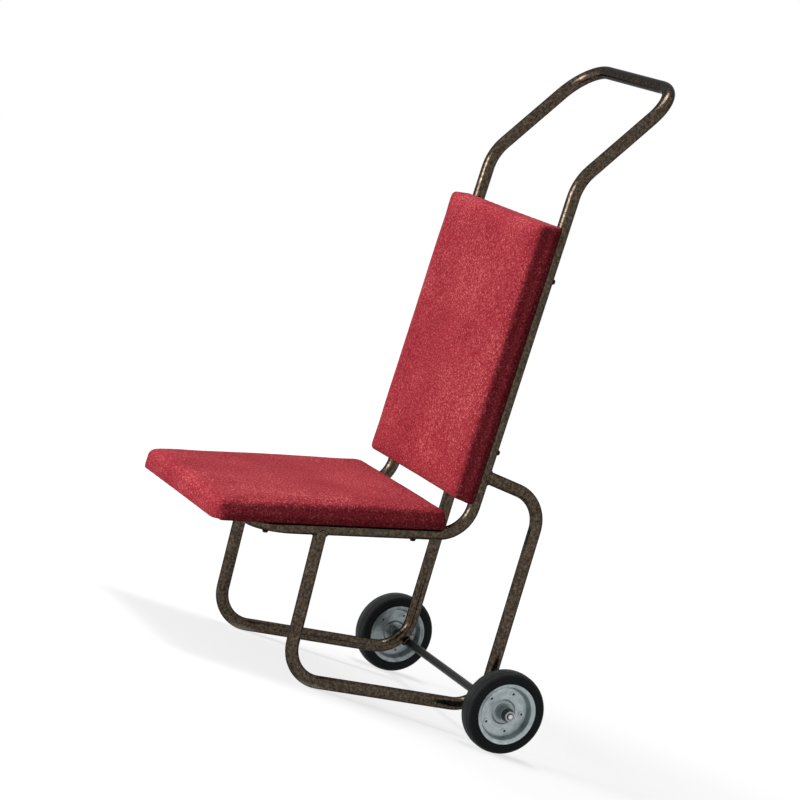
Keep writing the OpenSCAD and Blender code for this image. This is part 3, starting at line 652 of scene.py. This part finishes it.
def choose(mesh, keep_edge):
    """Selects the edges of an open mesh that a test on their two ends passes."""
    for part in (mesh.verts, mesh.edges, mesh.faces):
        for item in part:
            item.select = False
    for line in mesh.edges:
        if keep_edge(line.verts[0].co, line.verts[1].co):
            line.select = True
            for v in line.verts:
                v.select = True
    mesh.select_mode = {"EDGE"}


def spread_out(value, low, high):
    """0 below the low mark, 1 above the high one, and a straight rise in between."""
    return min(1, max(0, (value - low) / (high - low)))


def bow(place, span):
    """1 in the middle of a span and 0 at its ends, as a stretched edge curves."""
    return max(0, 1 - (2 * place / span) ** 2)


def pad_block(name, length, thick, front_round):
    """The slab of foam, crowned on top and drawn in a little along its sides."""
    clear_selection()
    bpy.ops.mesh.primitive_cube_add(size=1)
    pad = bpy.context.object
    pad.name = name
    bpy.ops.object.mode_set(mode="EDIT")
    bpy.ops.mesh.select_all(action="SELECT")
    width = PAD_WIDTH - 2 * PAD_SLACK
    depth = length - 2 * PAD_SLACK
    bpy.ops.transform.resize(value=(width, depth, thick))
    bpy.ops.transform.translate(value=(0, 0, thick / 2))
    for front, radius in ((True, front_round), (False, CORNER_ROUND)):
        shape = bmesh.from_edit_mesh(pad.data)
        choose(shape, lambda a, b: abs(a.z - b.z) > thick / 2 and abs(a.x) > width / 2 - TINY
               and abs(a.y) > depth / 2 - TINY and (a.y < 0) == front)
        bmesh.update_edit_mesh(pad.data)
        bpy.ops.mesh.bevel(offset=radius, segments=10, affect="EDGES")
    shape = bmesh.from_edit_mesh(pad.data)
    choose(shape, lambda a, b: min(a.z, b.z) > thick - TINY)
    bmesh.update_edit_mesh(pad.data)
    bpy.ops.mesh.bevel(offset=RIM_ROUND, segments=4, affect="EDGES")
    bpy.ops.object.mode_set(mode="OBJECT")

    even = pad.modifiers.new("even_mesh", "REMESH")
    even.mode = "VOXEL"
    even.voxel_size = PAD_MESH
    bpy.ops.object.modifier_apply(modifier="even_mesh")
    for v in pad.data.vertices:
        across, along = bow(v.co.x, PAD_WIDTH), bow(v.co.y, length)
        lift = max(0, (v.co.z - BOARD_TOP) / (thick - BOARD_TOP))
        v.co.z += PAD_CROWN * lift * across ** 0.5 * along ** 0.5
        v.co.x -= EDGE_PULL * math.copysign(along, v.co.x) * abs(2 * v.co.x / PAD_WIDTH) ** 8
        v.co.y -= EDGE_PULL * math.copysign(across, v.co.y) * abs(2 * v.co.y / length) ** 8
    return pad


def stuff(pad, length):
    """Swells the cloth as the foam does, held to the board and inside the pad's outline."""
    held = pad.vertex_groups.new(name="held_to_board")
    held.add([v.index for v in pad.data.vertices if v.co.z < BOARD_TOP], 1.0, "REPLACE")
    start = [v.co.copy() for v in pad.data.vertices]
    cloth = pad.modifiers.new("stuffing", "CLOTH")
    cloth.settings.vertex_group_mass = "held_to_board"
    cloth.settings.quality = 5
    cloth.settings.mass = 0.3
    cloth.settings.tension_stiffness = 18
    cloth.settings.compression_stiffness = 18
    cloth.settings.bending_stiffness = 1.5
    cloth.settings.use_pressure = True
    cloth.settings.uniform_pressure_force = 4
    cloth.settings.effector_weights.gravity = 0
    for step in range(1, STUFFING_STEPS + 1):
        scene.frame_set(step)
    bpy.ops.object.modifier_apply(modifier="stuffing")
    for v, was in zip(pad.data.vertices, start):
        swell = v.co - was
        if swell.length > MOST_SWELL:
            v.co = was + swell * (MOST_SWELL / swell.length)
        reach_x = PAD_WIDTH / 2 - PAD_SLACK - EDGE_PULL * bow(was.y, length)
        reach_y = length / 2 - PAD_SLACK - EDGE_PULL * bow(was.x, PAD_WIDTH)
        v.co.x = max(-reach_x, min(reach_x, v.co.x))
        v.co.y = max(-reach_y, min(reach_y, v.co.y))
    scene.frame_set(1)
    pad.vertex_groups.clear()


def soften_rim(pad):
    """Eases the sides and the upper rim, and makes the mesh finer."""
    soft = pad.vertex_groups.new(name="soft_rim")
    for v in pad.data.vertices:
        soft.add([v.index], spread_out(v.co.z, RIM_EASE_LOW, RIM_EASE_HIGH), "REPLACE")
    ease = pad.modifiers.new("eased_rim", "SMOOTH")
    ease.factor = 0.5
    ease.iterations = RIM_EASE
    ease.vertex_group = "soft_rim"
    bpy.ops.object.modifier_apply(modifier="eased_rim")
    pad.vertex_groups.clear()
    finer = pad.modifiers.new("finer_mesh", "SUBSURF")
    finer.levels = 1
    finer.render_levels = 1
    bpy.ops.object.modifier_apply(modifier="finer_mesh")


TOP_FROM = 0.02
TOP_FULL = 0.032
ROLL_HEIGHT = 0.0007
ROLLS_PER_METRE = 9
RIPPLE_HEIGHT = 0.00022
RIPPLES_PER_METRE = 34
RIPPLE_SEED = 5
STAPLE_PITCH = 0.028
STAPLE_PULL = 0.0003
PLEAT_DEPTH = 0.0006
PLEAT_REACH = 0.05
PLEATS_ROUND = 9
SIDE_BAND = 0.02
STAPLE_PULL_FULL = 0.008
STAPLE_PULL_END = 0.024


def crease(pad, length, seed):
    """Gives the top a soft unevenness, and the sides the pull of the staples and corner pleats."""
    for v in pad.data.vertices:
        high = spread_out(v.co.z, TOP_FROM, TOP_FULL)
        roll = noise.noise(Vector((v.co.x * ROLLS_PER_METRE, v.co.y * ROLLS_PER_METRE, seed)))
        ripple = noise.noise(Vector((v.co.x * RIPPLES_PER_METRE, v.co.y * RIPPLES_PER_METRE,
                                     seed + RIPPLE_SEED)))
        v.co.z += high * (ROLL_HEIGHT * roll + RIPPLE_HEIGHT * ripple)
        edge_x = PAD_WIDTH / 2 - abs(v.co.x)
        edge_y = length / 2 - abs(v.co.y)
        if min(edge_x, edge_y) > SIDE_BAND:
            continue
        low = 1 - spread_out(v.co.z, STAPLE_PULL_FULL, STAPLE_PULL_END)
        run = v.co.y if edge_x < edge_y else v.co.x
        pull = STAPLE_PULL * low * (0.5 + 0.5 * math.cos(2 * math.pi * run / STAPLE_PITCH))
        corner = max(0, 1 - math.hypot(edge_x, edge_y) / PLEAT_REACH)
        angle = math.atan2(edge_y - CORNER_ROUND, edge_x - CORNER_ROUND)
        pull += PLEAT_DEPTH * corner * low * (0.5 + 0.5 * math.cos(PLEATS_ROUND * angle))
        inward = Vector((v.co.x / PAD_WIDTH, v.co.y / length, 0))
        if edge_x < edge_y - CORNER_ROUND:
            inward.y = 0
        elif edge_y < edge_x - CORNER_ROUND:
            inward.x = 0
        v.co -= inward.normalized() * pull


HEM_TOP = 0.0032
HEM_WIDTH = 0.030
HEM_THICK = 0.00115
CLEAR_OF_TUBE = 0.2079
WELL_CLEAR_OF_TUBE = 0.2091


def turn_in_hem(pad, length):
    """Draws the cloth's edge down, rolls it under the board and closes it over the board's top."""
    bpy.ops.object.mode_set(mode="EDIT")
    bpy.ops.mesh.select_all(action="SELECT")
    bpy.ops.mesh.bisect(plane_co=(0, 0, HEM_TOP), plane_no=(0, 0, 1), clear_inner=True)
    first = PAD_SLACK
    roll_under = [(first - 0.0002, 0.0010), (first, -0.0009), (first + 0.0009, -0.0021),
                  (first + 0.0023, -0.0024), (first + 0.0037, -0.0014), (first + 0.0050, -0.0002),
                  (first + 0.0064, 0)]
    flat_hem = [(HEM_WIDTH, 0), (HEM_WIDTH + 0.0002, 0.0006), (HEM_WIDTH, HEM_THICK)]
    round_board = [(first + 0.0006, HEM_THICK), (first + 0.0006, BOARD_TOP), (0.012, BOARD_TOP),
                   (0.06, BOARD_TOP)]
    inset, height = first, HEM_TOP
    for new_inset, new_height in roll_under + flat_hem + round_board:
        bpy.ops.mesh.extrude_edges_move(
            TRANSFORM_OT_translate={"value": (0, 0, new_height - height)})
        share_x = (PAD_WIDTH / 2 - new_inset) / (PAD_WIDTH / 2 - inset)
        share_y = (length / 2 - new_inset) / (length / 2 - inset)
        bpy.ops.transform.resize(value=(share_x, share_y, 1), center_override=(0, 0, 0))
        inset, height = new_inset, new_height
    bpy.ops.mesh.edge_face_add()
    bpy.ops.mesh.select_all(action="SELECT")
    bpy.ops.mesh.normals_make_consistent(inside=False)
    bpy.ops.object.mode_set(mode="OBJECT")
    for v in pad.data.vertices:
        past_tube = spread_out(abs(v.co.x), CLEAR_OF_TUBE, WELL_CLEAR_OF_TUBE)
        v.co.z = max(v.co.z, 0) + min(v.co.z, 0) * past_tube
    bpy.ops.object.shade_smooth_by_angle(angle=math.radians(50))


def pad_place(slope, middle):
    """Where the middle of a pad's underside lies on the seat rails or the uprights."""
    outward = way_along(slope + math.pi / 2)
    return SEAT_CORNER + way_along(slope) * middle + outward * PAD_LIFT


def on_frame(piece, slope, middle):
    """Lays a piece made flat on to the seat rails or the uprights."""
    laid_down(piece, pad_place(slope, middle), SIDEWAYS, way_along(slope + math.pi / 2))


def upholstered_pad(name, length, thick, front_round, middle, slope, seed):
    pad = pad_block(name, length, thick, front_round)
    stuff(pad, length)
    soften_rim(pad)
    crease(pad, length, seed)
    turn_in_hem(pad, length)
    on_frame(pad, slope, middle)
    return pad


YARN_PITCH = 0.0019
FIBRE_SHARE = 0.22
WEAVE_SHARE = 0.035
DRIFT_SHARE = 0.03


def tweed(name, slope, middle):
    """Burgundy tweed: a plain weave of thick yarn, flecked with light and dark fibres."""
    cloth, tree, yarn = new_finish(name)
    facts = add_node(tree, "TexCoord").outputs
    laid = add_node(tree, "Mapping", {"Vector": facts["Object"], "Location": pad_place(slope, middle),
                                      "Rotation": (slope, 0, 0)}, vector_type="TEXTURE").outputs[0]
    facing = add_node(tree, "Mapping", {"Vector": facts["Normal"], "Rotation": (slope, 0, 0)},
                      vector_type="TEXTURE").outputs[0]
    ways = add_node(tree, "SeparateXYZ", {0: laid}).outputs
    faces = add_node(tree, "SeparateXYZ", {0: facing}).outputs
    waves = [maths(tree, "SINE", maths(tree, "MULTIPLY", ways[k], 2 * math.pi / YARN_PITCH))
             for k in range(3)]
    weights = [maths(tree, "MULTIPLY", faces[k], faces[k]) for k in range(3)]
    knots = [maths(tree, "MULTIPLY", maths(tree, "MULTIPLY", waves[a], waves[b]), weights[k])
             for k, (a, b) in enumerate(((1, 2), (0, 2), (0, 1)))]
    weave = maths(tree, "ADD", maths(tree, "ADD", knots[0], knots[1]), knots[2])
    fleck = grain(tree, laid, scale=300, detail=3, roughness=0.7)
    fibre = grain(tree, laid, scale=1500, detail=2)
    drift = grain(tree, laid, scale=9, detail=3)
    tone = mingle(tree, fleck, fibre, FIBRE_SHARE)
    tone = maths(tree, "ADD", tone, maths(tree, "MULTIPLY", weave, WEAVE_SHARE))
    tone = maths(tree, "ADD", tone, spread(tree, drift, GRAIN_LOW, GRAIN_HIGH, -DRIFT_SHARE, DRIFT_SHARE))
    colour = ramp(tree, tone, (0.34, rgb(90, 17, 31)), (0.44, rgb(151, 41, 54)),
                  (0.55, rgb(177, 55, 66)), (0.68, rgb(236, 141, 136)))
    finish_with(tree, yarn, colour, fleck, smooth=0.78, rough=0.92)
    yarn.inputs["Specular IOR Level"].default_value = 0.06
    yarn.inputs["Sheen Weight"].default_value = 0.06
    yarn.inputs["Sheen Roughness"].default_value = 0.45
    yarn.inputs["Sheen Tint"].default_value = rgb(255, 170, 165)
    relief = maths(tree, "ADD", maths(tree, "MULTIPLY", weave, 0.5), fleck)
    emboss(tree, yarn, relief, strength=0.5, depth=0.0006)
    return cloth


seat_cushion = upholstered_pad("seat_cushion", SEAT_LENGTH, SEAT_THICK, SEAT_FRONT_ROUND,
                               SEAT_MIDDLE, SEAT_SLOPE, SEAT_SEED)
seat_cushion.data.materials.append(tweed("seat_tweed", SEAT_SLOPE, SEAT_MIDDLE))
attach(seat_cushion, "frame")
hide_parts("seat_cover", "seat_foam")

# Back cushion
# Made as the seat is, of the same cloth, but longer. It is screwed to the uprights through its
# board, with its top edge well below the handle.
BACK_MIDDLE = 0.330
BACK_LENGTH = 0.544
BACK_THICK = 0.042
BACK_SEED = 7.9
back_cushion = upholstered_pad("back_cushion", BACK_LENGTH, BACK_THICK, CORNER_ROUND,
                               BACK_MIDDLE, BACK_SLOPE, BACK_SEED)
back_cushion.data.materials.append(tweed("back_tweed", BACK_SLOPE, BACK_MIDDLE))
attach(back_cushion, "frame")
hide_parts("back_cover", "back_foam")

# Dust cloths
# A sheet of thin black felted cloth is stapled over the underside of each board, with its edge
# turned under. It lies flat and puckers a little between the staples.
CLOTH_MARGIN = 0.046
CLOTH_THICK = 0.0003
CLOTH_HEIGHT = 0.00105
CLOTH_CORNER_CUT = 0.009
CLOTH_STAPLE_PITCH = 0.040
PUCKER_DEPTH = 0.0005
PUCKER_REACH = 0.045
SAG_DEPTH = 0.0005
SAG_REACH = 0.06
SAGS_PER_METRE = 14
SAG_SPREAD = 10
TURNED_WIDTH = 0.0095
TURNED_DEPTH = 0.00025

felt, tree, felted = new_finish("black_dust_felt")
at = on_object(tree)
felt_fibre = grain(tree, at, scale=900, detail=4, roughness=0.75)
felt_dots = add_node(tree, "TexVoronoi", {"Vector": at, "Scale": 520}).outputs["Distance"]
finish_with(tree, felted, ramp(tree, felt_fibre, (0.34, rgb(20, 20, 21)), (0.68, rgb(52, 51, 50))),
            felt_fibre, smooth=0.85, rough=0.98)
felt_relief = maths(tree, "ADD", felt_fibre, maths(tree, "MULTIPLY", felt_dots, 0.8))
emboss(tree, felted, felt_relief, strength=0.4, depth=0.0004)


def dust_cloth(name, length, middle, slope):
    width, depth = PAD_WIDTH - 2 * CLOTH_MARGIN, length - 2 * CLOTH_MARGIN
    clear_selection()
    bpy.ops.mesh.primitive_grid_add(x_subdivisions=66, y_subdivisions=80, size=1)
    sheet = bpy.context.object
    sheet.name = name
    bpy.ops.object.mode_set(mode="EDIT")
    bpy.ops.mesh.select_all(action="SELECT")
    bpy.ops.transform.resize(value=(width, depth, 1))
    for x, y in ((1, 1), (1, -1), (-1, 1), (-1, -1)):
        bpy.ops.mesh.select_all(action="SELECT")
        bpy.ops.mesh.bisect(plane_co=(x * (width / 2 - CLOTH_CORNER_CUT), y * depth / 2, 0),
                            plane_no=Vector((x, y, 0)).normalized(), clear_outer=True)
    bpy.ops.object.mode_set(mode="OBJECT")
    for v in sheet.data.vertices:
        edge_x, edge_y = width / 2 - abs(v.co.x), depth / 2 - abs(v.co.y)
        edge = min(edge_x, edge_y)
        run = v.co.y if edge_x < edge_y else v.co.x
        pucker = math.sin(math.pi * run / CLOTH_STAPLE_PITCH) ** 2 * max(0, 1 - edge / PUCKER_REACH)
        uneven = noise.noise(Vector((v.co.x * SAGS_PER_METRE, v.co.y * SAGS_PER_METRE,
                                     length * SAG_SPREAD)))
        sag = (0.5 + uneven) * min(1, edge / SAG_REACH)
        turned_in = TURNED_DEPTH if edge < TURNED_WIDTH else 0
        v.co.z = CLOTH_HEIGHT - PUCKER_DEPTH * pucker - SAG_DEPTH * sag - turned_in
    thick = sheet.modifiers.new("thickness", "SOLIDIFY")
    thick.thickness = CLOTH_THICK
    thick.offset = 0
    bpy.ops.object.modifier_apply(modifier="thickness")
    bpy.ops.object.shade_smooth_by_angle(angle=math.radians(50))
    on_frame(sheet, slope, middle)
    sheet.data.materials.append(felt)
    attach(sheet, "frame")
    return sheet, (width, depth)


seat_felt, cut = dust_cloth("seat_dust_felt", SEAT_LENGTH, SEAT_MIDDLE, SEAT_SLOPE)
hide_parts("seat_dust_cloth")
back_felt, cut = dust_cloth("back_dust_felt", BACK_LENGTH, BACK_MIDDLE, BACK_SLOPE)
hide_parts("back_dust_cloth")

# Staples
# Wire staples hold the turned-in cover and the dust cloth to the boards. One is made as a bent
# piece of flat wire and the others are copies of it.
STAPLE_CROWN = 0.010
STAPLE_WIRE = 0.0007
STAPLE_FLAT = 1.5
STAPLE_LEG = 0.0012
STAPLE_EASE = 0.00016
STAPLE_LEAN = 0.22
LEAN_STEP = 1.7
LEAN_SPREAD = 31
LEAN_SEED = 4.1
HEM_STAPLE_INSET = 0.024
HEM_STAPLE_HEIGHT = -0.00025
CLOTH_STAPLE_INSET = CLOTH_MARGIN + 0.006
CLOTH_STAPLE_HEIGHT = 0.00035


def select_faces(piece, keep_face):
    """Selects the faces of a piece in edit mode that a test on normal and middle passes."""
    shape = bmesh.from_edit_mesh(piece.data)
    for face in shape.faces:
        face.select_set(keep_face(face.normal, face.calc_center_median()))
    bmesh.update_edit_mesh(piece.data)


def one_staple():
    clear_selection()
    bpy.ops.mesh.primitive_cube_add(size=1)
    staple = bpy.context.object
    bpy.ops.object.mode_set(mode="EDIT")
    bpy.ops.mesh.select_all(action="SELECT")
    bpy.ops.transform.resize(value=(STAPLE_CROWN - 2 * STAPLE_WIRE, STAPLE_WIRE * STAPLE_FLAT,
                                    STAPLE_WIRE))
    bend = STAPLE_CROWN / 2 - STAPLE_WIRE
    for end in (1, -1):
        select_faces(staple, lambda normal, middle: normal.x * end > 0.9 and middle.x * end > bend / 2)
        bpy.ops.mesh.extrude_region_move(TRANSFORM_OT_translate={"value": (end * STAPLE_WIRE, 0, 0)})
        select_faces(staple, lambda normal, middle: normal.z > 0.9 and middle.x * end > bend)
        bpy.ops.mesh.extrude_region_move(TRANSFORM_OT_translate={"value": (0, 0, STAPLE_LEG)})
    bpy.ops.object.mode_set(mode="OBJECT")
    edge = staple.modifiers.new("wire_round", "BEVEL")
    edge.width = STAPLE_EASE
    edge.segments = 1
    bpy.ops.object.modifier_apply(modifier="wire_round")
    bpy.ops.object.shade_smooth_by_angle(angle=math.radians(60))
    return staple


def staple_run(width, length, pitch, height):
    """Places of staples round a rectangle, with the way that each one lies."""
    places = []
    for x in (width / 2, -width / 2):
        count = round(length / pitch)
        places += [(x, length * ((k + 0.5) / count - 0.5), height, math.pi / 2) for k in range(count)]
    for y in (length / 2, -length / 2):
        count = round(width / pitch)
        places += [(width * ((k + 0.5) / count - 0.5), y, height, 0) for k in range(count)]
    return places


def staple_set(name, length, middle, slope):
    pattern = one_staple()
    hem_line = staple_run(PAD_WIDTH - 2 * HEM_STAPLE_INSET, length - 2 * HEM_STAPLE_INSET,
                          STAPLE_PITCH, HEM_STAPLE_HEIGHT)
    cloth_line = staple_run(PAD_WIDTH - 2 * CLOTH_STAPLE_INSET, length - 2 * CLOTH_STAPLE_INSET,
                            CLOTH_STAPLE_PITCH, CLOTH_STAPLE_HEIGHT)
    copies = []
    for k, (x, y, z, turn) in enumerate(hem_line + cloth_line):
        copy = pattern.copy()
        copy.data = pattern.data.copy()
        scene.collection.objects.link(copy)
        lean = STAPLE_LEAN * noise.noise(Vector((k * LEAN_STEP, length * LEAN_SPREAD, LEAN_SEED)))
        copy.matrix_world = Matrix.Translation((x, y, z)) @ Matrix.Rotation(turn + lean, 4, "Z")
        copies.append(copy)
    bpy.data.objects.remove(pattern)
    pick(*copies)
    bpy.ops.object.transform_apply(location=True, rotation=True, scale=True)
    bpy.ops.object.join()
    staples = bpy.context.object
    staples.name = name
    on_frame(staples, slope, middle)
    staples.data.materials.clear()
    staples.data.materials.append(plated_steel)
    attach(staples, "frame")


staple_set("seat_staples", SEAT_LENGTH, SEAT_MIDDLE, SEAT_SLOPE)
staple_set("back_staples", BACK_LENGTH, BACK_MIDDLE, BACK_SLOPE)
